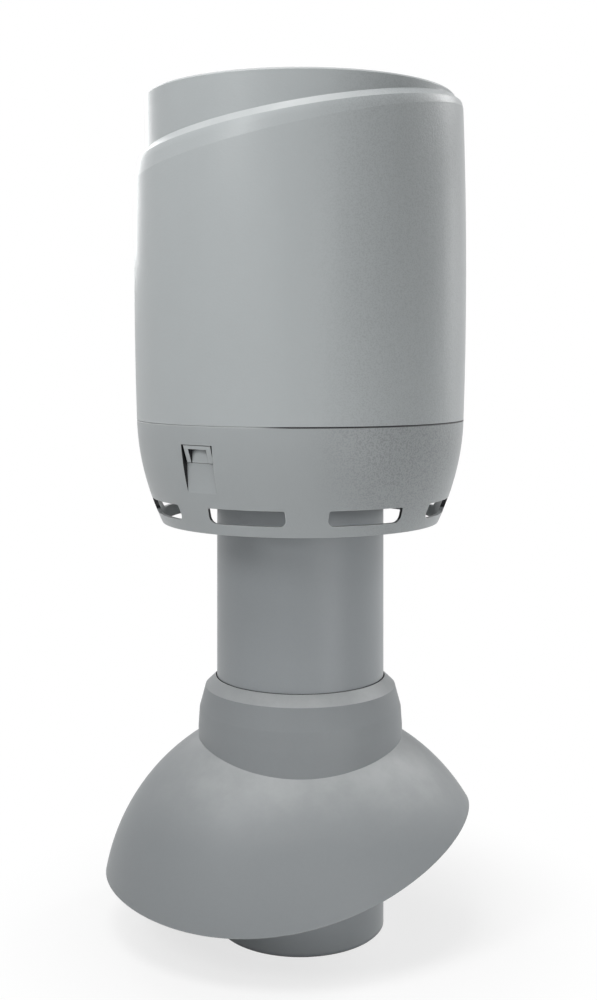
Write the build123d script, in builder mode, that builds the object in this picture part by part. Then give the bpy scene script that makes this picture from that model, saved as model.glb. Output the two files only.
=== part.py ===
from build123d import *
import os
from math import cos, radians, sin, tan

os.makedirs("parts", exist_ok=True)

# Roof vent pipe, in millimetres and degrees. The origin is on the pipe's axis at its lower end,
# +Z is up, -Y is the front, and the roof falls from +X to -X. Azimuths run from the front
# towards +X.

# Pipe
pipe_diameter = 110.0
pipe_wall = 3.2
pipe_length = 349.0
pipe_bevel = 0.8

# Roof dome: round as seen from the front, elliptical as seen from the side, with a saddle rim
roof_pitch = 10.4
dome_radius = 130.0
dome_half_width = 107.3
dome_centre = 13.2
dome_wall = 3.0
rim_height = 59.4
rim_saddle = 258.0

# Collar at the top of the dome, and the groove in it
collar_reach = 12.2
collar_height = 163.5
collar_draft = 0.8
collar_shoulder_drop = 20.5
collar_shoulder_round = 12.0
collar_brow = 4.6
collar_brow_drop = 6.5
collar_brow_round = 4.5
collar_wall = 7.2
collar_lip = 6.5
collar_lip_gap = 0.7
collar_ledge = 4.0
collar_ledge_gap = 2.0

# Seal in the collar
seal_height = 9.0
seal_land = 3.0
seal_gap = 0.1
wiper_thickness = 1.6

# Hood: the slotted ring hangs below the pipe's upper end, and the sleeve stands on the ring
hood_drop = 83.5
ring_height = 66.3
sleeve_height = 211.2
seam_radius = 107.4
foot_inset = 16.6
ring_bow = 3.6
sleeve_taper = 0.4
sleeve_bow = 1.9
mouth_inset = 4.8
mouth_taper = 1.8
rim_bevel = 1.2

# Slanted step between the sleeve and the mouth
step_tilt = 10.0
step_drop = 23.4
step_inset = 0.6
step_slope = 45.0
step_round = 24.0
step_brow = 18.0
step_flare = 8.0

# Hood, walls and fits
hood_wall = 2.8
base_wall = 2.8
seam_bevel = 0.5
spigot_depth = 10.0
spigot_wall = 2.2
spigot_gap = 0.5
slip = 0.3

# Drain slots and the posts between them
slot_count = 8
slot_turn = 24.9
slot_width = 49.2
slot_rise = 6.9
slot_height = 9.6
slot_lower_round = 4.4
slot_upper_round = 0.9

# Snap latches
latch_turn = -36.0
latch_count = 2
window_arc = 12.9
window_drop = 11.5
window_height = 11.1
ramp_height = 18.2
ramp_depth = 3.4
pad_margin = 1.2
catch_gap = 0.7
catch_foot_gap = 0.25
catch_bar = 2.2
catch_leg_arc = 1.9
catch_inset = 0.3
catch_tip = 0.8
tongue_wall = 1.8
tongue_lap = 0.5
tab_margin = 0.4
slit_arc = 0.9

# Socket on the pipe, and its spokes
socket_depth = 60.0
socket_wall = 3.0
socket_stop = 3.0
spoke_count = 4
spoke_turn = 2.4
spoke_thickness = 3.0
spoke_rise = 20.5
spoke_height = 32.0
spoke_slope = 3.0
spoke_inset = 1.0

# Screws through the socket
screw_count = 3
screw_turn = 47.4
screw_drop = 11.0
screw_shank_diameter = 4.0
screw_head_diameter = 8.0
screw_head_height = 2.6
screw_gap = 0.15
screw_end_inset = 0.4

# Rain deflector over the pipe's mouth
deflector_seat = 3.0
deflector_skirt = 5.5
deflector_wall = 2.5
cap_radius = 74.0
cap_clearance = 41.0
cap_rise = 18.0
cap_lip = 6.0
fin_count = 4
fin_turn = 47.4
fin_thickness = 2.6
fin_lap = 1.0

pipe_radius = pipe_diameter / 2
bore_radius = pipe_radius - pipe_wall
socket_radius = pipe_radius + slip
socket_outer = socket_radius + socket_wall
socket_bottom = pipe_length - socket_depth
socket_top = pipe_length + socket_stop
collar_radius = pipe_radius + collar_reach

foot_height = pipe_length - hood_drop
seam_height = foot_height + ring_height
hood_height = seam_height + sleeve_height
step_height = hood_height - step_drop
foot_radius = seam_radius - foot_inset
sleeve_top_radius = seam_radius - sleeve_taper
mouth_radius = sleeve_top_radius - mouth_inset
ring_foot = (foot_radius, foot_height)
hood_seam = (seam_radius, seam_height)
sleeve_top = (sleeve_top_radius, hood_height)

window_top = seam_height - window_drop
window_bottom = window_top - window_height
ramp_foot = window_bottom - ramp_height


def bow_points(foot, top, bow, inset):
    """Control points of a curve that swells by bow between two (radius, height) points, drawn inset."""
    middle = ((foot[0] + top[0]) / 2 + 2 * bow - inset, (foot[1] + top[1]) / 2)
    return (foot[0] - inset, foot[1]), middle, (top[0] - inset, top[1])


def bow_radius(foot, top, bow, height):
    """Radius of that curve at a height, with no inset."""
    share = (height - foot[1]) / (top[1] - foot[1])
    return foot[0] + (top[0] - foot[0]) * share + 4 * bow * share * (1 - share)


def ring_radius(height):
    """Outer radius of the hood's slotted ring."""
    return bow_radius(ring_foot, hood_seam, ring_bow, height)


def radial_plane(azimuth):
    """Upright plane through the axis, with its x outwards at the azimuth and its y up."""
    turn = radians(azimuth)
    return Plane(origin=(0, 0, 0), x_dir=(sin(turn), -cos(turn), 0), z_dir=(-cos(turn), -sin(turn), 0))


def facing_plane(azimuth):
    """Upright plane through the axis that faces outwards at the azimuth, with its y up."""
    turn = radians(azimuth)
    return Plane(origin=(0, 0, 0), x_dir=(cos(turn), sin(turn), 0), z_dir=(sin(turn), -cos(turn), 0))


def around(count, first):
    """Azimuths of evenly spaced copies."""
    return [first + 360 / count * step for step in range(count)]


def dome_volume(inset):
    """Half an ellipse turned about the axis across the slope: the dome, or its hollow when inset."""
    radius = dome_radius - inset
    half_width = dome_half_width - inset
    with BuildPart() as volume:
        with BuildSketch(Plane.XY.offset(dome_centre)):
            with BuildLine():
                EllipticalCenterArc((0, 0), radius, half_width, start_angle=-90, arc_size=180)
                Line((0, half_width), (0, -half_width))
            make_face()
        revolve(axis=Axis((0, 0, dome_centre), (0, 1, 0)))
    return volume.part


def slanted_cap(inset):
    """What bounds the sleeve from above: a sloping ledge over a rounded brow, flared slightly below."""
    low = seam_height - seam_radius
    brow, flare, slope = radians(step_brow), radians(step_flare), radians(step_slope)
    edge_radius = sleeve_top_radius - step_inset
    brow_centre = (edge_radius - step_round * cos(brow), step_height - step_round * sin(brow))
    reach = step_round - inset
    brow_top = (brow_centre[0] + reach * cos(brow), brow_centre[1] + reach * sin(brow))
    brow_foot = (brow_centre[0] + reach * cos(flare), brow_centre[1] + reach * sin(flare))
    with BuildPart() as level_cap:
        with BuildSketch(Plane.XZ):
            with BuildLine():
                CenterArc(brow_centre, reach, step_flare, step_brow - step_flare)
                Polyline(
                    brow_top,
                    (0, brow_top[1] + brow_top[0] * tan(slope)),
                    (0, low),
                    (brow_foot[0] + (brow_foot[1] - low) * tan(flare), low),
                    brow_foot,
                )
            make_face()
        revolve(axis=Axis.Z)

    # Every upright line slides up towards +X, so that the ledge slants and the walls stay upright
    rise = tan(radians(step_tilt))
    shear = Matrix([[1, 0, 0, 0], [0, 1, 0, 0], [rise, 0, 1, 0], [0, 0, 0, 1]])
    return level_cap.part.transform_geometry(shear)


def hood_volume(inset):
    """The hood's outer form above the seam, or its hollow when it is drawn inset by the wall."""
    above = hood_height + 2 * step_round
    with BuildPart() as volume:
        with BuildSketch(Plane.XZ):
            with BuildLine():
                Bezier(*bow_points(hood_seam, sleeve_top, sleeve_bow, inset))
                Polyline(
                    (sleeve_top_radius - inset, hood_height),
                    (sleeve_top_radius - inset, above),
                    (0, above),
                    (0, seam_height),
                    (seam_radius - inset, seam_height),
                )
            make_face()
        revolve(axis=Axis.Z)
        add(slanted_cap(inset), mode=Mode.INTERSECT)
        with BuildSketch(Plane.XZ):
            with BuildLine():
                Polyline(
                    (0, seam_height),
                    (mouth_radius - mouth_taper - inset, seam_height),
                    (mouth_radius - mouth_taper - inset, step_height - 2 * step_round),
                    (mouth_radius - inset, hood_height),
                    (mouth_radius - inset, above),
                    (0, above),
                    close=True,
                )
            make_face()
        revolve(axis=Axis.Z)
    return volume.part


# Pipe, with bevelled ends and a pilot hole for each screw
with BuildPart() as vent_pipe:
    with BuildSketch(Plane.XY):
        Circle(pipe_radius)
        Circle(bore_radius, mode=Mode.SUBTRACT)
    extrude(amount=pipe_length)
    chamfer(vent_pipe.edges().filter_by(GeomType.CIRCLE).group_by(SortBy.RADIUS)[-1], pipe_bevel)
    for azimuth in around(screw_count, screw_turn):
        with BuildSketch(facing_plane(azimuth)):
            with Locations((0, pipe_length - screw_drop)):
                Circle(screw_shank_diameter / 2 + screw_gap)
        extrude(amount=pipe_diameter, mode=Mode.SUBTRACT)

vent_pipe.part.label = "vent_pipe"
export_step(vent_pipe.part, "parts/vent_pipe.step")


# Roof dome and collar, one moulded shell
dome_outside = dome_volume(0)
dome_inside = dome_volume(dome_wall)
rim_plane = Plane.XY.rotated((0, -roof_pitch, 0)).offset(rim_height - rim_saddle)
groove_radius = collar_radius - collar_wall
groove_top = collar_height - collar_lip
groove_bottom = groove_top - seal_height
ledge_bottom = groove_bottom - collar_ledge

with BuildPart() as roof_dome:
    add(dome_outside)
    with BuildSketch(Plane.XZ):
        with BuildLine():
            FilletPolyline(
                (0, dome_centre),
                (collar_radius, dome_centre),
                (collar_radius, collar_height - collar_shoulder_drop - collar_shoulder_round),
                (collar_radius - collar_draft, collar_height - collar_shoulder_drop),
                (collar_radius - collar_brow, collar_height - collar_brow_drop),
                (pipe_radius + collar_lip_gap, collar_height),
                (0, collar_height),
                radius=[0, 0, collar_shoulder_round, collar_brow_round, 0, 0, 0],
                close=True,
            )
        make_face()
    revolve(axis=Axis.Z)
    add(dome_inside, mode=Mode.SUBTRACT)
    with BuildSketch(Plane.XZ):
        with BuildLine():
            Polyline(
                (0, dome_centre),
                (groove_radius, dome_centre),
                (groove_radius, ledge_bottom - collar_ledge_gap),
                (pipe_radius + collar_ledge_gap, ledge_bottom),
                (pipe_radius + collar_ledge_gap, groove_bottom),
                (groove_radius, groove_bottom),
                (groove_radius, groove_top),
                (pipe_radius + collar_lip_gap, groove_top),
                (pipe_radius + collar_lip_gap, collar_height),
                (0, collar_height),
                close=True,
            )
        make_face()
    revolve(axis=Axis.Z, mode=Mode.SUBTRACT)
    with BuildSketch(Plane(rim_plane.origin, x_dir=(0, 1, 0), z_dir=rim_plane.x_dir)):
        Circle(rim_saddle)
    extrude(amount=2 * dome_radius, both=True, mode=Mode.SUBTRACT)

roof_dome.part.label = "roof_dome"
export_step(roof_dome.part, "parts/roof_dome.step")


# Seal in the collar's groove: a band with two wipers that touch the pipe
seal_outer = groove_radius - seal_gap
seal_tip = pipe_radius + seal_gap
seal_low = groove_bottom + seal_gap
seal_high = groove_top - seal_gap

with BuildPart() as collar_seal:
    with BuildSketch(Plane.XZ):
        with BuildLine():
            Polyline(
                (seal_outer, seal_low),
                (seal_outer, seal_high),
                (seal_tip, seal_high),
                (seal_tip, seal_high - wiper_thickness),
                (seal_outer - seal_land, seal_high - 2 * wiper_thickness),
                (seal_outer - seal_land, seal_low + 2 * wiper_thickness),
                (seal_tip, seal_low + wiper_thickness),
                (seal_tip, seal_low),
                close=True,
            )
        make_face()
    revolve(axis=Axis.Z)

collar_seal.part.label = "collar_seal"
export_step(collar_seal.part, "parts/collar_seal.step")


# Hood base: slotted ring, spokes and socket, one moulding
ramp_head_radius = ring_radius(window_bottom) - ramp_depth
pad_arc = window_arc + 2 * pad_margin
spoke_bottom = foot_height + spoke_rise
spoke_top = spoke_bottom + spoke_height
latches = around(latch_count, latch_turn)

with BuildPart() as hood_base:
    with BuildSketch(Plane.XZ):
        with BuildLine():
            Bezier(*bow_points(ring_foot, hood_seam, ring_bow, 0))
            Bezier(*bow_points(ring_foot, hood_seam, ring_bow, base_wall))
            Line(hood_seam, (seam_radius - base_wall, seam_height))
            Line(ring_foot, (foot_radius - base_wall, foot_height))
        make_face()
    revolve(axis=Axis.Z)

    # Socket, with a stop for the pipe's upper end
    with BuildSketch(Plane.XZ):
        with BuildLine():
            Polyline(
                (socket_radius + socket_wall / 2, socket_bottom),
                (socket_outer, socket_bottom),
                (socket_outer, socket_top),
                (bore_radius, socket_top),
                (bore_radius, pipe_length),
                (socket_radius, pipe_length),
                (socket_radius, socket_bottom + socket_wall),
                close=True,
            )
        make_face()
    revolve(axis=Axis.Z)

    # Spokes from the socket to the middle of the ring's wall
    for azimuth in around(spoke_count, spoke_turn):
        with BuildSketch(radial_plane(azimuth)):
            with BuildLine():
                Polyline(
                    (socket_outer - socket_wall / 2, socket_bottom + spoke_inset),
                    (ring_radius(spoke_bottom) - base_wall / 2, spoke_bottom),
                    (ring_radius(spoke_top) - base_wall / 2, spoke_top),
                    (socket_outer - socket_wall / 2, spoke_top + spoke_slope),
                    close=True,
                )
            make_face()
        extrude(amount=spoke_thickness / 2, both=True)

    # Latch windows, each above a thumb ramp that keeps its wall on a pad inside the ring
    for azimuth in latches:
        with BuildSketch(radial_plane(azimuth - pad_arc / 2)):
            with BuildLine():
                Polyline(
                    (ring_radius(ramp_foot) - base_wall / 2, ramp_foot),
                    (ring_radius(ramp_foot) - base_wall, ramp_foot - base_wall),
                    (ramp_head_radius - base_wall, window_bottom),
                    (ring_radius(window_bottom) - base_wall / 2, window_bottom),
                    close=True,
                )
            make_face()
        revolve(axis=Axis.Z, revolution_arc=pad_arc)
        with BuildSketch(radial_plane(azimuth - window_arc / 2)):
            with BuildLine():
                Polyline(
                    (ring_radius(ramp_foot), ramp_foot),
                    (ramp_head_radius, window_bottom),
                    (ramp_head_radius - 2 * base_wall, window_bottom),
                    (ramp_head_radius - 2 * base_wall, window_top),
                    (seam_radius, window_top),
                    (seam_radius, ramp_foot),
                    close=True,
                )
            make_face()
        revolve(axis=Axis.Z, revolution_arc=window_arc, mode=Mode.SUBTRACT)

    # Drain slots, with rounder lower corners
    for azimuth in around(slot_count, slot_turn):
        with BuildSketch(facing_plane(azimuth).offset((socket_outer + foot_radius) / 2)) as slot:
            with Locations((0, foot_height + slot_rise + slot_height / 2)):
                Rectangle(slot_width, slot_height)
            fillet(slot.vertices().group_by(Axis.Y)[0], slot_lower_round)
            fillet(slot.vertices().group_by(Axis.Y)[-1], slot_upper_round)
        extrude(amount=foot_radius, mode=Mode.SUBTRACT)

    for azimuth in around(screw_count, screw_turn):
        with BuildSketch(facing_plane(azimuth)):
            with Locations((0, pipe_length - screw_drop)):
                Circle(screw_shank_diameter / 2 + screw_gap)
        extrude(amount=pipe_diameter, mode=Mode.SUBTRACT)

hood_base.part.label = "hood_base"
export_step(hood_base.part, "parts/hood_base.step")


# Hood shell: stepped sleeve and mouth, with a spigot and two snap tongues inside the ring
spigot_bottom = seam_height - spigot_depth
spigot_outer = ring_radius(spigot_bottom) - base_wall - spigot_gap
spigot_inner = spigot_outer - spigot_wall
catch_arc = window_arc - 2 * catch_gap
tab_arc = catch_arc + 2 * tab_margin
catch_top = window_top - catch_gap / 2
catch_bottom = window_bottom + catch_foot_gap
tongue_outer = ring_radius(window_bottom) - base_wall - spigot_gap

with BuildPart() as hood_sleeve:
    add(hood_volume(0))
    add(hood_volume(hood_wall), mode=Mode.SUBTRACT)
    split(bisect_by=Plane.XY.offset(hood_height), keep=Keep.BOTTOM)

    # Bevels round the mouth's rim and above the seam
    with BuildSketch(Plane.XZ):
        with BuildLine():
            Polyline(
                (mouth_radius - rim_bevel, hood_height),
                (seam_radius, hood_height),
                (seam_radius, hood_height - rim_bevel - seam_radius + mouth_radius),
                close=True,
            )
        make_face()
        with BuildLine():
            Polyline(
                (seam_radius - seam_bevel, seam_height),
                (seam_radius + seam_bevel, seam_height),
                (seam_radius + seam_bevel, seam_height + 2 * seam_bevel),
                close=True,
            )
        make_face()
    revolve(axis=Axis.Z, mode=Mode.SUBTRACT)

with BuildPart() as hood_shell:
    # Spigot, with a sloping web to the sleeve's wall
    with BuildSketch(Plane.XZ):
        with BuildLine():
            Polyline(
                (spigot_inner, spigot_bottom),
                (spigot_outer, spigot_bottom),
                (spigot_outer, seam_height),
                (seam_radius - hood_wall / 2, seam_height),
                (seam_radius - hood_wall / 2, seam_height + 2 * hood_wall),
                (seam_radius - hood_wall, seam_height + 2 * hood_wall),
                (spigot_inner, seam_height + hood_wall),
                close=True,
            )
        make_face()
    revolve(axis=Axis.Z)

    for azimuth in latches:
        # A slit each side of the tongue's tab lets it bend
        for edge in (azimuth - tab_arc / 2 - slit_arc, azimuth + tab_arc / 2):
            with BuildSketch(radial_plane(edge)):
                with Locations((spigot_inner, spigot_bottom)):
                    Rectangle(4 * spigot_wall, 2 * spigot_depth - hood_wall)
            revolve(axis=Axis.Z, revolution_arc=slit_arc, mode=Mode.SUBTRACT)

        # Tongue and wedge catch: flush at the bar, sloping in towards the tip
        with BuildSketch(radial_plane(azimuth - catch_arc / 2)):
            with BuildLine():
                Polyline(
                    (tongue_outer - tongue_wall, catch_bottom),
                    (tongue_outer + catch_tip, catch_bottom),
                    (ring_radius(catch_top) - catch_inset, catch_top),
                    (tongue_outer, catch_top),
                    (spigot_outer - tongue_lap, spigot_bottom + tongue_lap),
                    (spigot_outer - tongue_lap, spigot_bottom + 2 * spigot_wall),
                    (spigot_inner - tongue_lap, spigot_bottom + 2 * spigot_wall),
                    (spigot_inner - tongue_lap, spigot_bottom + spigot_wall),
                    close=True,
                )
            make_face()
        revolve(axis=Axis.Z, revolution_arc=catch_arc)

        # The catch is hollow between its two legs, under the bar
        with BuildSketch(radial_plane(azimuth - catch_arc / 2 + catch_leg_arc)):
            with BuildLine():
                Polyline(
                    (tongue_outer, catch_bottom - catch_bar),
                    (seam_radius, catch_bottom - catch_bar),
                    (seam_radius, catch_top - catch_bar),
                    (tongue_outer, catch_top - catch_bar),
                    close=True,
                )
            make_face()
        revolve(axis=Axis.Z, revolution_arc=catch_arc - 2 * catch_leg_arc, mode=Mode.SUBTRACT)

    add(hood_sleeve.part)

hood_shell.part.label = "hood_shell"
export_step(hood_shell.part, "parts/hood_shell.step")


# Rain deflector: a seat ring over the socket, fins and a conical cap with a drip lip
seat_top = socket_top + deflector_seat
fin_foot = socket_outer + deflector_wall
cap_edge = seat_top + cap_clearance
fin_top = cap_edge - deflector_wall / 2
fin_rise = cap_rise / cap_radius * (cap_radius - bore_radius)

with BuildPart() as rain_deflector:
    with BuildSketch(Plane.XZ):
        with BuildLine():
            Polyline(
                (bore_radius, socket_top),
                (socket_outer + slip, socket_top),
                (socket_outer + slip, socket_top - deflector_skirt),
                (socket_outer + slip + deflector_wall, socket_top - deflector_skirt),
                (socket_outer + slip + deflector_wall, seat_top),
                (bore_radius, seat_top),
                close=True,
            )
        make_face()
        with BuildLine():
            Polyline(
                (0, cap_edge + cap_rise),
                (cap_radius, cap_edge),
                (cap_radius, cap_edge - cap_lip),
                (cap_radius - deflector_wall, cap_edge - cap_lip),
                (cap_radius - deflector_wall, cap_edge - deflector_wall),
                (0, cap_edge + cap_rise - deflector_wall),
                close=True,
            )
        make_face()
    revolve(axis=Axis.Z)
    for azimuth in around(fin_count, fin_turn):
        with BuildSketch(radial_plane(azimuth)):
            with BuildLine():
                Polyline(
                    (bore_radius + fin_lap, seat_top - fin_lap),
                    (fin_foot, seat_top - fin_lap),
                    (cap_radius - deflector_wall / 2, cap_edge - cap_lip + fin_lap),
                    (cap_radius - deflector_wall / 2, fin_top),
                    (bore_radius + fin_lap, fin_top + fin_rise),
                    close=True,
                )
            make_face()
        extrude(amount=fin_thickness / 2, both=True)

rain_deflector.part.label = "rain_deflector"
export_step(rain_deflector.part, "parts/rain_deflector.step")


# Screws that hold the base to the pipe, as one group of separate solids
with BuildPart() as fixing_screws:
    for azimuth in around(screw_count, screw_turn):
        with BuildSketch(facing_plane(azimuth).offset(socket_outer)):
            with Locations((0, pipe_length - screw_drop)):
                Circle(screw_head_diameter / 2)
        extrude(amount=screw_head_height)
        with BuildSketch(facing_plane(azimuth).offset(socket_outer)):
            with Locations((0, pipe_length - screw_drop)):
                Circle(screw_shank_diameter / 2)
        extrude(amount=-(socket_wall + slip + pipe_wall - screw_end_inset))

fixing_screws.part.label = "fixing_screws"
export_step(fixing_screws.part, "parts/fixing_screws.step")
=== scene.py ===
from math import cos, pi, radians, sin, sqrt

import bpy
from mathutils import Matrix, Vector


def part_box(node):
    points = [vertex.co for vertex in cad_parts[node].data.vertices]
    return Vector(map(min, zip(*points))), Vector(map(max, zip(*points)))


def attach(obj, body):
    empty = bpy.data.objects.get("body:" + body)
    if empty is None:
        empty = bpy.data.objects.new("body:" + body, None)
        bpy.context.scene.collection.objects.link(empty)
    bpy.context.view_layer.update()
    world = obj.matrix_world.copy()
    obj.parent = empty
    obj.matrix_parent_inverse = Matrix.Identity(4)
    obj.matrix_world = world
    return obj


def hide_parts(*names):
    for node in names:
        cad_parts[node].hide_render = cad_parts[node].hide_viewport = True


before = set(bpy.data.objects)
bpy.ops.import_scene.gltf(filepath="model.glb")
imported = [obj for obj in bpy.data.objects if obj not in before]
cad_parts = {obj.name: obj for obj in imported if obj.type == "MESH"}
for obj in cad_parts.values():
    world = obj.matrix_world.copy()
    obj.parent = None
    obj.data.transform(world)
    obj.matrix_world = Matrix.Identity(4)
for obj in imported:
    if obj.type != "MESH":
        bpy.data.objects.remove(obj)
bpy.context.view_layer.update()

# Roof vent pipe: finishes, screws, light and camera. Lengths are metres, the origin is on the pipe's
# axis at its lower end, +Z is up, -Y is the front, and azimuths run from the front towards +X.

# The photograph's frame and the camera fitted to it, in pixels
PHOTO_WIDTH = 597
PHOTO_HEIGHT = 1000
AXIS_COLUMN = 300.3
HORIZON_ROW = 355.5
FOCAL_PIXELS = 1309.1
CAMERA_DISTANCE = 0.8676
CAMERA_HEIGHT = 0.3739
SENSOR = 36.0
CLIP_END = 20.0

# Plastic greys and the other colours, linear
HOOD_GREY = (0.40, 0.425, 0.432)
RING_GREY = (0.340, 0.361, 0.368)
# The pipe's and the dome's greys are set darker than the hood's, partly as painted shade of these less lit
# lower pieces
PIPE_GREY = (0.278, 0.297, 0.309)
DOME_GREY = (0.236, 0.251, 0.260)
DEFLECTOR_GREY = (0.22, 0.233, 0.24)
DUST_AND_HIGHLIGHT_COLOUR = (0.66, 0.675, 0.675)
WORN_AND_HIGHLIGHT_COLOUR = (0.52, 0.54, 0.545)
# Near black, painted as shade in gaps, recesses, on cut walls and in the open part of the seam
PAINTED_SHADE_COLOUR = (0.010, 0.010, 0.011)
SEAL_BLACK = (0.022, 0.022, 0.024)
STEEL_GREY = (0.56, 0.555, 0.54)
FLOOR_WHITE = (0.94, 0.94, 0.94)

# Edges and gaps
EDGE_RADIUS = 0.0005
EDGE_SAMPLES = 6
GAP_REACH = 0.006
GAP_SAMPLES = 8

# Plastic: its gloss, and how much its roughness wanders
PLASTIC_SPECULAR = 0.3
ROUGHNESS_SPREAD = 0.04

# The side whose grain shows most, and which is darkened as painted shade. Flecks are measured from a level
# above their lightest, so that they only darken the plastic; on that side this darkening paints its shade.
SPECKLED_SHADED_AZIMUTH = 42.0
SPECKLED_SHADED_START = 0.079
SPECKLED_SHADED_FULL = 0.105
SPECKLE_AND_SHADE_LEVEL = 1.3

# Pale dust lies only on faces that look up by at least this much, and all round where no side is named;
# where a side is named, it is painted highlight towards that side
DUST_AND_HIGHLIGHT_SLOPE = 0.4
NO_SIDE = (0.0, 0.0, 0.0)
BEFORE_ALL = -2.0
WITHIN_ALL = -1.0

# Seam between the ring and the hood: closed on one side, lined with pale wear and painted highlight, and
# open on the other, darkened by painted shadow
RING_HEIGHT = 0.0663
SEAM_HALF_WIDTH = 0.0003
SEAM_FADE = 0.0007
SEAM_OPEN_AZIMUTH = 77.0
SEAM_OPEN_START = -0.004
SEAM_OPEN_FULL = 0.020
SEAM_SHADE = 0.9
SEAM_WEAR_AND_HIGHLIGHT = 0.45

# Screws in the socket, as the model holds them
SCREW_COUNT = 3
SCREW_TURN = 47.4
SCREW_SEAT = 0.0583
HEAD_RADIUS = 0.004
HEAD_HEIGHT = 0.0026
HEAD_RIM = 0.0007
SHANK_LENGTH = 0.0061
THREAD_RADIUS = 0.00198
THREAD_DEPTH = 0.00045
THREAD_PITCH = 0.0013
NECK_LENGTH = 0.0008
TIP_LENGTH = 0.0012
RECESS_REACH = 0.0023
RECESS_HALF_WIDTH = 0.00055
RECESS_DEPTH = 0.0015
SHARP_ANGLE = 40.0

# Shares of the screws' radii and depths: core at the tip, seat of the head, and recess floor's rise
TIP_CORE = 0.55
HEAD_UNDERSIDE = 0.97
RECESS_SLOPE = 0.6

# Stage
FLOOR_HALF_SIDE = 4.0
FLOOR_LIFT = 0.72
FADE_START = 0.07
FADE_END = 0.24
WORLD_LIGHT = 0.08


def around(azimuth, distance, height):
    """Point at an azimuth, a distance from the pipe's axis and a height."""
    turn = radians(azimuth)
    return Vector((distance * sin(turn), -distance * cos(turn), height))


# Nodes and node groups

def new_group(name, inputs, outputs):
    """Shader node group with (name, type, default) inputs and (name, type) outputs."""
    group = bpy.data.node_groups.new(name, "ShaderNodeTree")
    for socket, kind, default in inputs:
        made = group.interface.new_socket(name=socket, in_out="INPUT", socket_type=kind)
        made.default_value = default
    for socket, kind in outputs:
        group.interface.new_socket(name=socket, in_out="OUTPUT", socket_type=kind)
    entry = group.nodes.new("NodeGroupInput")
    result = group.nodes.new("NodeGroupOutput")
    return group, entry, result


def fill(socket, value):
    """Set a socket to a number, a vector or a colour, or link another socket to it."""
    if isinstance(value, bpy.types.NodeSocket):
        socket.id_data.links.new(value, socket)
    elif isinstance(value, tuple) and socket.type == "RGBA":
        socket.default_value = (*value, 1.0)
    else:
        socket.default_value = value


def math_node(nodes, operation, *values):
    """Math node; a value is a number or a socket to link."""
    node = nodes.new("ShaderNodeMath")
    node.operation = operation
    for socket, value in zip(node.inputs, values):
        fill(socket, value)
    return node.outputs[0]


def range_node(nodes, value, low, high, out_low=0.0, out_high=1.0):
    """Smooth map of a socket from one range to another, clamped at both ends."""
    node = nodes.new("ShaderNodeMapRange")
    node.interpolation_type = "SMOOTHSTEP"
    for socket, given in zip(node.inputs, (value, low, high, out_low, out_high)):
        fill(socket, given)
    return node.outputs[0]


def noise_node(nodes, vector, scale, detail, roughness=0.5):
    """Noise texture on a vector socket."""
    node = nodes.new("ShaderNodeTexNoise")
    fill(node.inputs["Vector"], vector)
    fill(node.inputs["Scale"], scale)
    fill(node.inputs["Detail"], detail)
    fill(node.inputs["Roughness"], roughness)
    return node.outputs["Fac"]


def vector_node(nodes, operation, first, second, output="Vector"):
    """Vector math node on a vector and a second vector, or a scale."""
    node = nodes.new("ShaderNodeVectorMath")
    node.operation = operation
    fill(node.inputs[0], first)
    fill(node.inputs["Scale"] if operation == "SCALE" else node.inputs[1], second)
    return node.outputs[output]


def mix_colour(nodes, mask, first, second):
    """Mix of two colours, each a tuple or a socket, by a mask."""
    node = nodes.new("ShaderNodeMix")
    node.data_type = "RGBA"
    fill(node.inputs[0], mask)
    fill(node.inputs[6], first)
    fill(node.inputs[7], second)
    return node.outputs[2]


def object_vector(nodes):
    """Coordinates in the part's own frame."""
    return nodes.new("ShaderNodeTexCoord").outputs["Object"]


def moulded_grain_group():
    """Fine spark-eroded grain: shallow pits and bumps of about a millimetre, and their flecks."""
    group, entry, result = new_group(
        "moulded grain",
        [("Scale", "NodeSocketFloat", 900.0), ("Pitting", "NodeSocketFloat", 0.5)],
        [("Height", "NodeSocketFloat"), ("Speckle", "NodeSocketFloat")],
    )
    nodes = group.nodes
    place = object_vector(nodes)
    scale = entry.outputs["Scale"]
    fine = noise_node(nodes, place, scale, detail=3.0, roughness=0.6)
    coarse = noise_node(nodes, place, math_node(nodes, "MULTIPLY", scale, 0.42), detail=2.0)
    pits = nodes.new("ShaderNodeTexVoronoi")
    pits.feature = "SMOOTH_F1"
    fill(pits.inputs["Vector"], place)
    fill(pits.inputs["Scale"], math_node(nodes, "MULTIPLY", scale, 0.8))
    pitted = math_node(nodes, "MULTIPLY_ADD", pits.outputs["Distance"], entry.outputs["Pitting"], fine)
    fill(result.inputs["Height"], math_node(nodes, "MULTIPLY_ADD", coarse, 0.8, pitted))
    specks = noise_node(nodes, place, math_node(nodes, "MULTIPLY", scale, 1.3), detail=2.0)
    both = math_node(nodes, "MULTIPLY_ADD", coarse, 0.25, specks)
    fill(result.inputs["Speckle"], range_node(nodes, both, low=0.48, high=0.70))
    return group


def speckled_shaded_side_group():
    """Mask of the side where the grain shows most and where shade is painted."""
    group, _, result = new_group("speckled and shaded side", [], [("Mask", "NodeSocketFloat")])
    nodes = group.nodes
    toward = around(SPECKLED_SHADED_AZIMUTH, 1.0, 0.0)
    reach = vector_node(nodes, "DOT_PRODUCT", object_vector(nodes), toward, "Value")
    fill(result.inputs["Mask"], range_node(nodes, reach, SPECKLED_SHADED_START, SPECKLED_SHADED_FULL))
    return group


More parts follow.
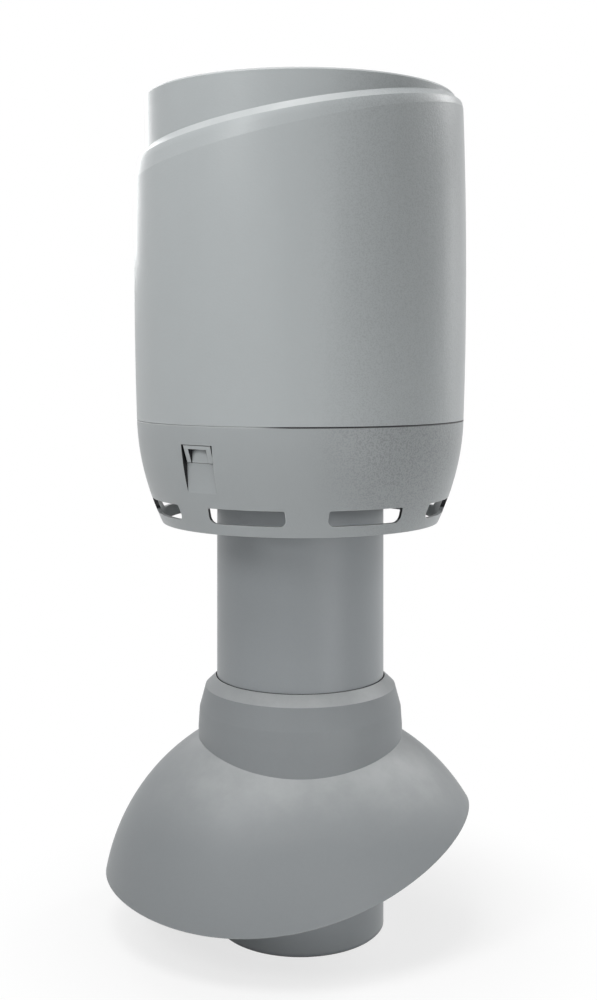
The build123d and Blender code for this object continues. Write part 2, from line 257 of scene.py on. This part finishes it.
def tone_group():
    """Slow unevenness of a moulding: cloudy patches and faint flow streaks along its height."""
    group, entry, result = new_group(
        "moulding tone",
        [("Patch Scale", "NodeSocketFloat", 9.0), ("Contrast", "NodeSocketFloat", 0.06)],
        [("Tone", "NodeSocketFloat"), ("Cloud", "NodeSocketFloat")],
    )
    nodes = group.nodes
    place = object_vector(nodes)
    cloud = noise_node(nodes, place, entry.outputs["Patch Scale"], detail=4.0)
    stretch = nodes.new("ShaderNodeMapping")
    stretch.inputs["Scale"].default_value = (1.0, 1.0, 0.12)
    fill(stretch.inputs["Vector"], place)
    streak_scale = math_node(nodes, "MULTIPLY", entry.outputs["Patch Scale"], 7.0)
    streak = noise_node(nodes, stretch.outputs["Vector"], streak_scale, detail=3.0)
    mixed = math_node(nodes, "MULTIPLY_ADD", streak, 0.3, math_node(nodes, "MULTIPLY", cloud, 0.7))
    centred = math_node(nodes, "SUBTRACT", mixed, 0.5)
    fill(result.inputs["Tone"], math_node(nodes, "MULTIPLY_ADD", centred, entry.outputs["Contrast"], 1.0))
    fill(result.inputs["Cloud"], cloud)
    return group


def soft_edge_group():
    """Rounded edges: the normal of small radii, and a mask along the edges broken by noise, for pale wear
    that also paints the edges' highlights.
    """
    group, entry, result = new_group(
        "soft edges",
        [("Wear", "NodeSocketFloat", 0.5)],
        [("Normal", "NodeSocketVector"), ("Mask", "NodeSocketFloat")],
    )
    nodes = group.nodes
    rounded = nodes.new("ShaderNodeBevel")
    rounded.samples = EDGE_SAMPLES
    rounded.inputs["Radius"].default_value = EDGE_RADIUS
    fill(result.inputs["Normal"], rounded.outputs["Normal"])
    wide = nodes.new("ShaderNodeBevel")
    wide.samples = EDGE_SAMPLES
    wide.inputs["Radius"].default_value = 2 * EDGE_RADIUS
    flat = nodes.new("ShaderNodeNewGeometry").outputs["Normal"]
    turn = vector_node(nodes, "DOT_PRODUCT", wide.outputs["Normal"], flat, "Value")
    edge = range_node(nodes, turn, low=0.995, high=0.85)
    broken = noise_node(nodes, object_vector(nodes), scale=90.0, detail=4.0)
    patches = range_node(nodes, broken, low=0.4, high=0.65, out_low=0.5)
    worn_and_lit = math_node(nodes, "MULTIPLY", edge, patches)
    fill(result.inputs["Mask"], math_node(nodes, "MULTIPLY", worn_and_lit, entry.outputs["Wear"]))
    return group


def dust_and_highlight_group():
    """Pale dust on what faces up, which, towards a named side, is painted highlight on the lit side."""
    group, entry, result = new_group(
        "dust and painted highlight",
        [
            ("Amount", "NodeSocketFloat", 0.3),
            ("Side", "NodeSocketVector", NO_SIDE),
            ("Start", "NodeSocketFloat", BEFORE_ALL),
            ("Full", "NodeSocketFloat", WITHIN_ALL),
        ],
        [("Mask", "NodeSocketFloat")],
    )
    nodes = group.nodes
    facing = nodes.new("ShaderNodeSeparateXYZ")
    fill(facing.inputs[0], nodes.new("ShaderNodeNewGeometry").outputs["Normal"])
    upward = range_node(nodes, facing.outputs["Z"], DUST_AND_HIGHLIGHT_SLOPE, 1.0)
    place = object_vector(nodes)
    blotches = noise_node(nodes, place, scale=45.0, detail=6.0, roughness=0.6)
    patches = range_node(nodes, blotches, low=0.35, high=0.7, out_low=0.7)
    reach = vector_node(nodes, "DOT_PRODUCT", place, entry.outputs["Side"], "Value")
    near = range_node(nodes, reach, entry.outputs["Start"], entry.outputs["Full"])
    dust_and_highlight_cover = math_node(nodes, "MULTIPLY", math_node(nodes, "MULTIPLY", upward, patches), near)
    fill(result.inputs["Mask"], math_node(nodes, "MULTIPLY", dust_and_highlight_cover, entry.outputs["Amount"]))
    return group


def gap_group():
    """Mask of painted shade in narrow gaps and deep corners, where little of the surroundings is seen
    nearby.
    """
    group, entry, result = new_group(
        "painted shade in gaps",
        [("Reach", "NodeSocketFloat", GAP_REACH), ("Amount", "NodeSocketFloat", 0.9)],
        [("Mask", "NodeSocketFloat")],
    )
    nodes = group.nodes
    occlusion = nodes.new("ShaderNodeAmbientOcclusion")
    occlusion.samples = GAP_SAMPLES
    fill(occlusion.inputs["Distance"], entry.outputs["Reach"])
    closed = range_node(nodes, occlusion.outputs["AO"], low=0.74, high=0.36)
    fill(result.inputs["Mask"], math_node(nodes, "MULTIPLY", closed, entry.outputs["Amount"]))
    return group


def cut_wall_group():
    """Mask of the walls of windows, slots and slits, which look along the ring and not outward, for the
    shade painted on them.
    """
    group, entry, result = new_group(
        "cut walls",
        [("Amount", "NodeSocketFloat", 0.9)],
        [("Mask", "NodeSocketFloat")],
    )
    nodes = group.nodes
    level = vector_node(nodes, "MULTIPLY", object_vector(nodes), (1.0, 1.0, 0.0))
    outward = vector_node(nodes, "NORMALIZE", level, (0.0, 0.0, 0.0))
    face = nodes.new("ShaderNodeNewGeometry").outputs["True Normal"]
    facing = nodes.new("ShaderNodeSeparateXYZ")
    fill(facing.inputs[0], face)
    out = math_node(nodes, "ABSOLUTE", vector_node(nodes, "DOT_PRODUCT", face, outward, "Value"))
    up = math_node(nodes, "ABSOLUTE", facing.outputs["Z"])
    sideways = range_node(nodes, out, low=0.5, high=0.25)
    upright = range_node(nodes, up, low=0.7, high=0.4)
    wall = math_node(nodes, "MULTIPLY", sideways, upright)
    fill(result.inputs["Mask"], math_node(nodes, "MULTIPLY", wall, entry.outputs["Amount"]))
    return group


def seam_group():
    """Masks along the seam: painted shadow where it stands open, and pale wear with painted highlight where
    its edge is closed.
    """
    group, entry, result = new_group(
        "seam line",
        [("Height", "NodeSocketFloat", 0.3)],
        [("Dark", "NodeSocketFloat"), ("Pale", "NodeSocketFloat")],
    )
    nodes = group.nodes
    place = object_vector(nodes)
    split = nodes.new("ShaderNodeSeparateXYZ")
    fill(split.inputs[0], place)
    above = math_node(nodes, "SUBTRACT", split.outputs["Z"], entry.outputs["Height"])
    away = math_node(nodes, "ABSOLUTE", above)
    band = range_node(nodes, away, SEAM_HALF_WIDTH, SEAM_FADE, out_low=1.0, out_high=0.0)
    toward = around(SEAM_OPEN_AZIMUTH, 1.0, 0.0)
    reach = vector_node(nodes, "DOT_PRODUCT", place, toward, "Value")
    opened = range_node(nodes, reach, SEAM_OPEN_START, SEAM_OPEN_FULL)
    closed = range_node(nodes, reach, SEAM_OPEN_START, SEAM_OPEN_FULL, out_low=1.0, out_high=0.0)
    fill(result.inputs["Dark"], math_node(nodes, "MULTIPLY", band, opened))
    fill(result.inputs["Pale"], math_node(nodes, "MULTIPLY", band, closed))
    return group


GRAIN = moulded_grain_group()
SPECKLED_SHADED_SIDE = speckled_shaded_side_group()
TONE = tone_group()
SOFT_EDGES = soft_edge_group()
DUST_AND_HIGHLIGHT = dust_and_highlight_group()
GAPS = gap_group()
CUT_WALLS = cut_wall_group()
SEAM = seam_group()
SEAM_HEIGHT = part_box("hood_base")[0][2] + RING_HEIGHT


def place_group(nodes, group, **values):
    """Node group in a material, with its inputs set."""
    node = nodes.new("ShaderNodeGroup")
    node.node_tree = group
    for name, value in values.items():
        node.inputs[name.replace("_", " ")].default_value = value
    return node


def new_material(name):
    """Empty node material with its Principled BSDF."""
    material = bpy.data.materials.new(name)
    material.use_nodes = True
    nodes = material.node_tree.nodes
    return material, nodes, nodes["Principled BSDF"]


# Finishes

def ring_and_hood_shade_and_highlight(nodes, with_dust_and_highlight, gap_mask, cut_walls):
    """Colour of the hood and the ring, with painted shade in gaps, on the cut walls and in the open part of
    their seam, and pale wear with painted highlight along its closed part.
    """
    line = place_group(nodes, SEAM, Height=SEAM_HEIGHT)
    shade_kept = math_node(nodes, "SUBTRACT", 1.0, line.outputs["Pale"])
    open_gaps = math_node(nodes, "MULTIPLY", gap_mask, shade_kept)
    with_painted_shade = mix_colour(nodes, open_gaps, with_dust_and_highlight, PAINTED_SHADE_COLOUR)
    # Painted shade on the walls of windows, slots and slits
    walls = place_group(nodes, CUT_WALLS, Amount=cut_walls)
    walled = mix_colour(nodes, walls.outputs["Mask"], with_painted_shade, PAINTED_SHADE_COLOUR)
    # Pale wear with painted highlight along the closed seam, and painted shadow in its open part
    pale = math_node(nodes, "MULTIPLY", line.outputs["Pale"], SEAM_WEAR_AND_HIGHLIGHT)
    dark = math_node(nodes, "MULTIPLY", line.outputs["Dark"], SEAM_SHADE)
    edged = mix_colour(nodes, pale, walled, WORN_AND_HIGHLIGHT_COLOUR)
    return mix_colour(nodes, dark, edged, PAINTED_SHADE_COLOUR)


def moulded_plastic(
    name, grey, roughness, grain_scale, grain_depth, pitting, contrast, speckle, dust_and_highlight, wear_and_highlight, gap_shade,
    side_speckle_and_shade=0.0, side_grain=0.0, highlight_side=NO_SIDE, highlight_start=BEFORE_ALL, highlight_full=WITHIN_ALL,
    cut_walls=0.0,
):
    """Matt polypropylene: grained or smooth, with soft edges worn pale with painted highlight, pale dust
    that is painted highlight towards a named side, and painted shade in its gaps, on one side and on cut
    walls.
    """
    material, nodes, shader = new_material(name)
    tone = place_group(nodes, TONE, Contrast=contrast)
    grain = place_group(nodes, GRAIN, Scale=grain_scale, Pitting=pitting)
    side = place_group(nodes, SPECKLED_SHADED_SIDE)
    edges = place_group(nodes, SOFT_EDGES, Wear=wear_and_highlight)
    dust_and_highlight_node = place_group(nodes, DUST_AND_HIGHLIGHT, Amount=dust_and_highlight, Side=highlight_side, Start=highlight_start, Full=highlight_full)
    gaps = place_group(nodes, GAPS, Amount=gap_shade)

    flecks_and_shade = math_node(nodes, "MULTIPLY_ADD", side.outputs["Mask"], side_speckle_and_shade, speckle)
    centred = math_node(nodes, "SUBTRACT", grain.outputs["Speckle"], SPECKLE_AND_SHADE_LEVEL)
    # Dark flecks, and on the speckled side a painted shade
    shade = math_node(nodes, "MULTIPLY_ADD", centred, flecks_and_shade, tone.outputs["Tone"])
    plastic = vector_node(nodes, "SCALE", grey, shade)
    # Pale edges: wear, and painted highlight along the edges
    worn_and_lit = mix_colour(nodes, edges.outputs["Mask"], plastic, WORN_AND_HIGHLIGHT_COLOUR)
    with_dust_and_highlight = mix_colour(nodes, dust_and_highlight_node.outputs["Mask"], worn_and_lit, DUST_AND_HIGHLIGHT_COLOUR)
    # Painted shade darkens the gaps, and on the hood and the ring also the cut walls and the open seam
    if cut_walls:
        with_painted_shade = ring_and_hood_shade_and_highlight(nodes, with_dust_and_highlight, gaps.outputs["Mask"], cut_walls)
    else:
        with_painted_shade = mix_colour(nodes, gaps.outputs["Mask"], with_dust_and_highlight, PAINTED_SHADE_COLOUR)
    fill(shader.inputs["Base Color"], with_painted_shade)

    cloud = tone.outputs["Cloud"]
    smoothest, roughest = roughness - ROUGHNESS_SPREAD, roughness + ROUGHNESS_SPREAD
    fill(shader.inputs["Roughness"], range_node(nodes, cloud, 0.3, 0.7, smoothest, roughest))
    shader.inputs["Specular IOR Level"].default_value = PLASTIC_SPECULAR

    depth = math_node(nodes, "MULTIPLY_ADD", side.outputs["Mask"], side_grain, 1.0)
    bump = nodes.new("ShaderNodeBump")
    bump.inputs["Distance"].default_value = grain_depth
    fill(bump.inputs["Height"], math_node(nodes, "MULTIPLY", grain.outputs["Height"], depth))
    fill(bump.inputs["Normal"], edges.outputs["Normal"])
    fill(shader.inputs["Normal"], bump.outputs["Normal"])
    return material


def rubber():
    """Black rubber of the collar's seal, with a pale bloom."""
    material, nodes, shader = new_material("seal rubber")
    tone = place_group(nodes, TONE, Patch_Scale=40.0, Contrast=0.3)
    grain = place_group(nodes, GRAIN, Scale=1500.0, Pitting=0.2)
    dust_and_highlight_node = place_group(nodes, DUST_AND_HIGHLIGHT, Amount=0.15)
    cloud = tone.outputs["Cloud"]
    faint = range_node(nodes, cloud, low=0.45, high=0.75, out_high=0.12)
    bloom = mix_colour(nodes, faint, SEAL_BLACK, DUST_AND_HIGHLIGHT_COLOUR)
    fill(shader.inputs["Base Color"], mix_colour(nodes, dust_and_highlight_node.outputs["Mask"], bloom, DUST_AND_HIGHLIGHT_COLOUR))
    dullness = range_node(nodes, cloud, low=0.3, high=0.7, out_low=0.55, out_high=0.75)
    fill(shader.inputs["Roughness"], dullness)
    bump = nodes.new("ShaderNodeBump")
    bump.inputs["Distance"].default_value = 0.00005
    fill(bump.inputs["Height"], grain.outputs["Height"])
    fill(shader.inputs["Normal"], bump.outputs["Normal"])
    return material


def screw_steel():
    """Bare stainless steel, unevenly dull, with painted shade in its recesses."""
    material, nodes, shader = new_material("screw steel")
    grain = place_group(nodes, GRAIN, Scale=2500.0, Pitting=0.1)
    tone = place_group(nodes, TONE, Patch_Scale=120.0, Contrast=0.25)
    # Painted shade in the recesses
    gaps = place_group(nodes, GAPS, Reach=0.0015, Amount=0.6)
    tinted = vector_node(nodes, "SCALE", STEEL_GREY, tone.outputs["Tone"])
    fill(shader.inputs["Base Color"], mix_colour(nodes, gaps.outputs["Mask"], tinted, PAINTED_SHADE_COLOUR))
    dullness = range_node(nodes, grain.outputs["Speckle"], 0.0, 1.0, out_low=0.25, out_high=0.45)
    fill(shader.inputs["Roughness"], dullness)
    shader.inputs["Metallic"].default_value = 1.0
    return material


# The hood's pale cover towards its front left is painted highlight on its ledge
HOOD_PLASTIC = moulded_plastic(
    "grained hood plastic", HOOD_GREY, roughness=0.35, grain_scale=900.0, grain_depth=0.00005, pitting=0.5,
    contrast=0.10, speckle=0.008, side_speckle_and_shade=0.11, side_grain=1.0, dust_and_highlight=0.95, wear_and_highlight=0.6, gap_shade=0.97,
    highlight_side=around(-15, 1.0, 0.0), highlight_start=0.055, highlight_full=0.104, cut_walls=0.96,
)
RING_PLASTIC = moulded_plastic(
    "grained ring plastic", RING_GREY, roughness=0.37, grain_scale=850.0, grain_depth=0.00005, pitting=0.5,
    contrast=0.10, speckle=0.008, side_speckle_and_shade=0.20, side_grain=1.4, dust_and_highlight=0.25, wear_and_highlight=0.5, gap_shade=0.97,
    cut_walls=0.98,
)
PIPE_PLASTIC = moulded_plastic(
    "smooth pipe plastic", PIPE_GREY, roughness=0.38, grain_scale=500.0, grain_depth=0.00002, pitting=0.1,
    contrast=0.08, speckle=0.01, dust_and_highlight=0.08, wear_and_highlight=0.25, gap_shade=0.9,
)
# The dome's pale cover towards its front is painted highlight on its collar and its top
DOME_PLASTIC = moulded_plastic(
    "smooth dome plastic", DOME_GREY, roughness=0.48, grain_scale=500.0, grain_depth=0.00002, pitting=0.1,
    contrast=0.08, speckle=0.01, dust_and_highlight=0.74, wear_and_highlight=0.30, gap_shade=0.9,
    highlight_side=around(10, 1.0, 0.0), highlight_start=-0.02, highlight_full=0.07,
)
DEFLECTOR_PLASTIC = moulded_plastic(
    "deflector plastic", DEFLECTOR_GREY, roughness=0.45, grain_scale=700.0, grain_depth=0.00006, pitting=0.3,
    contrast=0.12, speckle=0.02, dust_and_highlight=0.35, wear_and_highlight=0.30, gap_shade=0.9,
)
SEAL_RUBBER = rubber()
STEEL = screw_steel()


def dress(node, material):
    """Give a carried-over piece its finish in every material slot."""
    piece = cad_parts[node]
    if not piece.material_slots:
        piece.data.materials.append(material)
    for slot in piece.material_slots:
        slot.material = material


dress("hood_shell", HOOD_PLASTIC)
dress("hood_base", RING_PLASTIC)
dress("vent_pipe", PIPE_PLASTIC)
dress("roof_dome", DOME_PLASTIC)
dress("rain_deflector", DEFLECTOR_PLASTIC)
dress("collar_seal", SEAL_RUBBER)


# Screws: pan heads with a cross recess, and a thread on the shank

def thread_radius(place, turn):
    """Shank radius at a place along the screw (0 under the head, negative inwards) and a turn."""
    if place > -NECK_LENGTH:
        return THREAD_RADIUS - THREAD_DEPTH
    wave = (place / THREAD_PITCH - turn / (2 * pi)) % 1.0
    crest = 1.0 - abs(2 * wave - 1.0)
    taper = min(1.0, (place + SHANK_LENGTH) / TIP_LENGTH)
    core = (THREAD_RADIUS - THREAD_DEPTH) * (TIP_CORE + (1.0 - TIP_CORE) * taper)
    return core + THREAD_DEPTH * crest * taper


def head_height(radius, turn):
    """Height of the head's domed top, sunk in the arms of its cross recess."""
    top = HEAD_RIM + (HEAD_HEIGHT - HEAD_RIM) * sqrt(1.0 - (radius / HEAD_RADIUS) ** 4)
    across, along = abs(radius * cos(turn)), abs(radius * sin(turn))
    if radius < RECESS_REACH and min(across, along) < RECESS_HALF_WIDTH:
        return top - RECESS_DEPTH * (1.0 - RECESS_SLOPE * radius / RECESS_REACH)
    return top


def screw_rings(turn_steps=48, shank_steps=40, top_steps=22):
    """Rings of one screw along +X, from its tip to the middle of its head."""
    turns = [2 * pi * step / turn_steps for step in range(turn_steps)]
    rings = []
    for step in range(shank_steps + 1):
        place = -SHANK_LENGTH * (1.0 - step / shank_steps)
        rings.append([(place, thread_radius(place, turn), turn) for turn in turns])
    rings.append([(0.0, HEAD_RADIUS * HEAD_UNDERSIDE, turn) for turn in turns])
    for step in range(top_steps):
        radius = HEAD_RADIUS * (1.0 - step / top_steps)
        rings.append([(head_height(radius, turn), radius, turn) for turn in turns])
    return rings


def add_screw(points, faces, azimuth, height):
    """Add one screw's closed mesh, its head outward at an azimuth and a height."""
    seat = around(azimuth, SCREW_SEAT, height)
    place_screw = Matrix.Translation(seat) @ Matrix.Rotation(radians(azimuth - 90.0), 4, "Z")
    rings = screw_rings()
    start = len(points)
    for ring in rings:
        for along, radius, turn in ring:
            points.append(place_screw @ Vector((along, radius * cos(turn), radius * sin(turn))))
    count = len(rings[0])
    for row in range(len(rings) - 1):
        for step in range(count):
            after = (step + 1) % count
            low, high = start + row * count, start + (row + 1) * count
            faces.append((low + step, low + after, high + after, high + step))
    tip, crown = len(points), len(points) + 1
    points.append(place_screw @ Vector((-SHANK_LENGTH, 0, 0)))
    points.append(place_screw @ Vector((head_height(0.0, 0.0), 0, 0)))
    last = start + (len(rings) - 1) * count
    for step in range(count):
        after = (step + 1) % count
        faces.append((start + after, start + step, tip))
        faces.append((last + step, last + after, crown))


def pan_head_screws():
    """The three screws as one piece, in place of the plain ones."""
    lowest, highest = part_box("fixing_screws")
    height = (lowest[2] + highest[2]) / 2
    points, faces = [], []
    for step in range(SCREW_COUNT):
        add_screw(points, faces, SCREW_TURN + step * 360.0 / SCREW_COUNT, height)
    mesh = bpy.data.meshes.new("pan_head_screws")
    mesh.from_pydata(points, [], faces)
    mesh.shade_smooth()
    mesh.set_sharp_from_angle(angle=radians(SHARP_ANGLE))
    mesh.materials.append(STEEL)
    screws = bpy.data.objects.new("pan_head_screws", mesh)
    bpy.context.scene.collection.objects.link(screws)
    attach(screws, "root")
    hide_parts("fixing_screws")


pan_head_screws()


# Stage: a white floor that fades into the white background, and soft studio light

def background_rays(nodes):
    """One for rays from the camera, in reflections and through transmission."""
    path = nodes.new("ShaderNodeLightPath")
    seen = math_node(nodes, "MAXIMUM", path.outputs["Is Camera Ray"], path.outputs["Is Glossy Ray"])
    return math_node(nodes, "MAXIMUM", seen, path.outputs["Is Transmission Ray"])


def white_floor():
    """Pale floor under the pipe's lower end, with its shadow near the part and plain white beyond."""
    mesh = bpy.data.meshes.new("floor")
    side = FLOOR_HALF_SIDE
    corners = [(-side, -side, 0), (side, -side, 0), (side, side, 0), (-side, side, 0)]
    mesh.from_pydata(corners, [], [(0, 1, 2, 3)])
    floor = bpy.data.objects.new("floor", mesh)
    bpy.context.scene.collection.objects.link(floor)
    material, nodes, shader = new_material("floor white")
    fill(shader.inputs["Base Color"], FLOOR_WHITE)
    shader.inputs["Roughness"].default_value = 0.9
    shader.inputs["Specular IOR Level"].default_value = 0.0
    glow = nodes.new("ShaderNodeEmission")
    glow.inputs["Strength"].default_value = 1.0
    distance = vector_node(nodes, "LENGTH", object_vector(nodes), (0, 0, 0), "Value")
    far = range_node(nodes, distance, FADE_START, FADE_END, out_low=FLOOR_LIFT)
    mixed = nodes.new("ShaderNodeMixShader")
    fill(mixed.inputs[0], math_node(nodes, "MULTIPLY", far, background_rays(nodes)))
    fill(mixed.inputs[1], shader.outputs[0])
    fill(mixed.inputs[2], glow.outputs[0])
    fill(nodes["Material Output"].inputs["Surface"], mixed.outputs[0])
    mesh.materials.append(material)


def white_world():
    """White to the eye and in reflections, and a plain grey light on everything."""
    world = bpy.data.worlds.new("studio")
    bpy.context.scene.world = world
    world.use_nodes = True
    nodes = world.node_tree.nodes
    lighting = nodes["Background"]
    fill(lighting.inputs["Color"], (1, 1, 1))
    lighting.inputs["Strength"].default_value = WORLD_LIGHT
    seen = nodes.new("ShaderNodeBackground")
    fill(seen.inputs["Color"], (1, 1, 1))
    seen.inputs["Strength"].default_value = 1.0
    mixed = nodes.new("ShaderNodeMixShader")
    fill(mixed.inputs[0], background_rays(nodes))
    fill(mixed.inputs[1], lighting.outputs[0])
    fill(mixed.inputs[2], seen.outputs[0])
    fill(nodes["World Output"].inputs["Surface"], mixed.outputs[0])


def softbox(
    name, azimuth, height, watts,
    distance=1.2, width=0.3, tall=0.45, aim_height=0.35, spread=180.0,
):
    """Soft light at an azimuth, aimed at a height on the part's axis."""
    light = bpy.data.lights.new(name, "AREA")
    light.shape = "RECTANGLE"
    light.size = width
    light.size_y = tall
    light.energy = watts
    light.spread = radians(spread)
    lamp = bpy.data.objects.new(name, light)
    bpy.context.scene.collection.objects.link(lamp)
    lamp.location = around(azimuth, distance, height)
    aim = Vector((0, 0, aim_height)) - lamp.location
    lamp.rotation_euler = aim.to_track_quat("-Z", "Y").to_euler()


white_floor()
white_world()
softbox("overhead", azimuth=-30, height=1.6, watts=10.8, distance=0.5, width=0.6, tall=0.6, aim_height=0.4)
softbox("high left", azimuth=-55, height=1.5, watts=1.5, distance=1.0, width=0.4, tall=0.4, aim_height=0.45)
softbox("left key", azimuth=-45, height=1.05, watts=5.5, aim_height=0.4)
softbox("left front fill", azimuth=-25, height=0.45, watts=0.55)
softbox("front fill", azimuth=15, height=0.45, watts=1.25)
softbox("right side", azimuth=95, height=1.05, watts=1.8, aim_height=0.4)
softbox("right back rim", azimuth=120, height=1.05, watts=5.2, aim_height=0.4)
softbox("low right back", azimuth=120, height=0.45, watts=0.9)
softbox(
    "low front right", azimuth=42, height=0.05, watts=0.3,
    distance=1.0, width=0.8, tall=0.2, aim_height=0.1, spread=50.0,
)
softbox("left back", azimuth=-150, height=0.8, watts=3.0, width=0.4, tall=0.6)

# Camera
lens = bpy.data.cameras.new("camera")
lens.sensor_width = SENSOR
lens.lens = FOCAL_PIXELS / PHOTO_HEIGHT * SENSOR
lens.shift_x = (PHOTO_WIDTH / 2 - AXIS_COLUMN) / PHOTO_HEIGHT
lens.shift_y = (HORIZON_ROW - PHOTO_HEIGHT / 2) / PHOTO_HEIGHT
lens.clip_end = CLIP_END
camera = bpy.data.objects.new("camera", lens)
camera.location = (0, -CAMERA_DISTANCE, CAMERA_HEIGHT)
camera.rotation_euler = (radians(90), 0, 0)
bpy.context.scene.collection.objects.link(camera)
bpy.context.scene.camera = camera
bpy.context.scene.view_settings.view_transform = "Standard"
